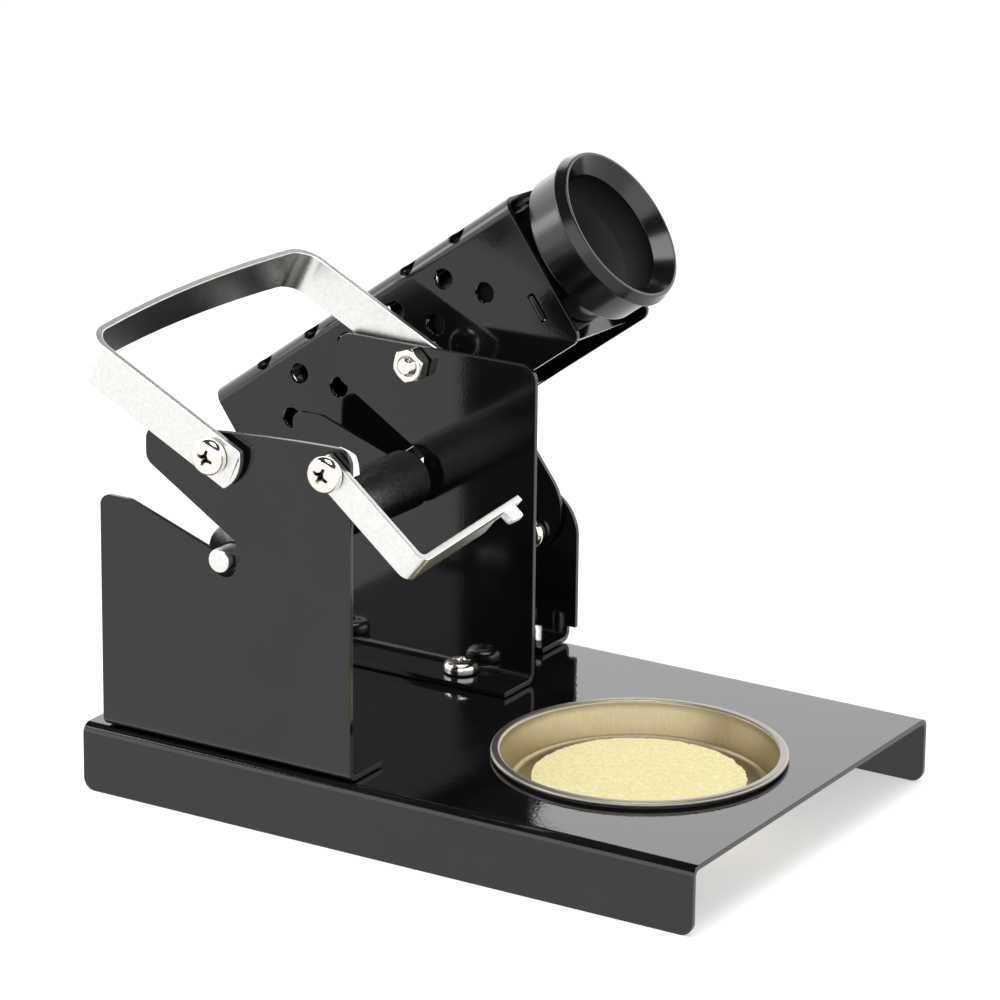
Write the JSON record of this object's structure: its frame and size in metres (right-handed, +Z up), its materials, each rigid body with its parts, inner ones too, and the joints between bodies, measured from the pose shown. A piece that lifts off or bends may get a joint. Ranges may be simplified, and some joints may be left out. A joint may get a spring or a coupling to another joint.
{
  "type": "soldering iron stand",
  "caption": "Folded sheet metal soldering iron stand with a tilting perforated holder, a moulded funnel, a sponge tin, a solder reel roller, a wire guide and a carrying bail.",
  "frame": {"origin": "middle of the footprint's bounding box, on the surface that the stand rests on", "axes": "+X along the base towards the sponge tin, +Y from front to back towards the iron holder, +Z up"},
  "size_m": [0.1746, 0.1294, 0.1268],
  "materials": {
    "gloss_black_paint": "high gloss black stoving enamel over folded sheet steel",
    "zinc_plated_steel": "bright zinc plating, lightly rolled",
    "worn_zinc_tube": "dull spotted zinc on tube",
    "nickel_plated_steel": "bright nickel plating",
    "lacquered_tinplate": "gold lacquered tinplate",
    "black_bakelite": "glossy moulded phenolic",
    "cellulose_sponge": "dry open-celled cellulose sponge"
  },
  "bodies": {
    "stand": {"base_channel": "gloss_black_paint", "reel_plate_front": "gloss_black_paint", "reel_plate_rear": "gloss_black_paint", "foot_screw_1": "nickel_plated_steel", "foot_screw_2": "nickel_plated_steel", "foot_screw_3": "nickel_plated_steel", "foot_screw_4": "nickel_plated_steel", "foot_nut_1": "nickel_plated_steel", "foot_nut_2": "nickel_plated_steel", "foot_nut_3": "nickel_plated_steel", "foot_nut_4": "nickel_plated_steel", "rear_bracket": "gloss_black_paint", "bracket_screw_1": "nickel_plated_steel", "bracket_screw_2": "nickel_plated_steel", "tilt_screw": "nickel_plated_steel", "tilt_nut": "nickel_plated_steel", "bail_front_screw": "nickel_plated_steel", "bail_front_nut": "nickel_plated_steel", "bail_rear_screw": "nickel_plated_steel", "bail_rear_nut": "nickel_plated_steel", "guide_screw": "nickel_plated_steel", "guide_nut": "nickel_plated_steel"},
    "tilting_holder": {"iron_holder": "gloss_black_paint", "mouth_plate": "gloss_black_paint", "funnel": "black_bakelite", "funnel_ring": "black_bakelite"},
    "carrying_bail": {"bail": "zinc_plated_steel"},
    "wire_guide": {"guide_arm": "zinc_plated_steel"},
    "rod": {"reel_rod": "zinc_plated_steel"},
    "roller": {"reel_roller": "worn_zinc_tube"},
    "tin": {"sponge_tin": "lacquered_tinplate"},
    "loose_sponge": {"sponge": "cellulose_sponge"}
  },
  "joints": [
    {"name": "bail_swing", "type": "hinge", "parent": "stand", "child": "carrying_bail", "pos_m": [-0.02708, -0.05918, 0.0817], "axis": [0.0244, 0.9993, 0.0271], "range_deg": [-40, 125]},
    {"name": "guide_swing", "type": "hinge", "parent": "stand", "child": "wire_guide", "pos_m": [0.00092, -0.05918, 0.0825], "axis": [0, 1, 0], "range_deg": [-185, 30]},
    {"name": "holder_tilt", "type": "hinge", "parent": "stand", "child": "tilting_holder", "pos_m": [-0.01128, 0.04172, 0.04], "axis": [0, 1, 0], "range_deg": [-20, 75]},
    {"name": "rod_lift", "type": "slide", "parent": "stand", "child": "rod", "axis": [0, 0, 1], "range_m": [0, 0.0024]},
    {"name": "roller_spin", "type": "hinge", "parent": "rod", "child": "roller", "pos_m": [-0.02598, -0.05858, 0.05875], "axis": [0, 0.9999, -0.0165], "continuous": true},
    {"name": "tin_lift", "type": "slide", "parent": "stand", "child": "tin", "axis": [0, 0, 1], "range_m": [0, 0.03]},
    {"name": "sponge_lift", "type": "slide", "parent": "tin", "child": "loose_sponge", "axis": [0, 0, 1], "range_m": [0, 0.02]}
  ]
}
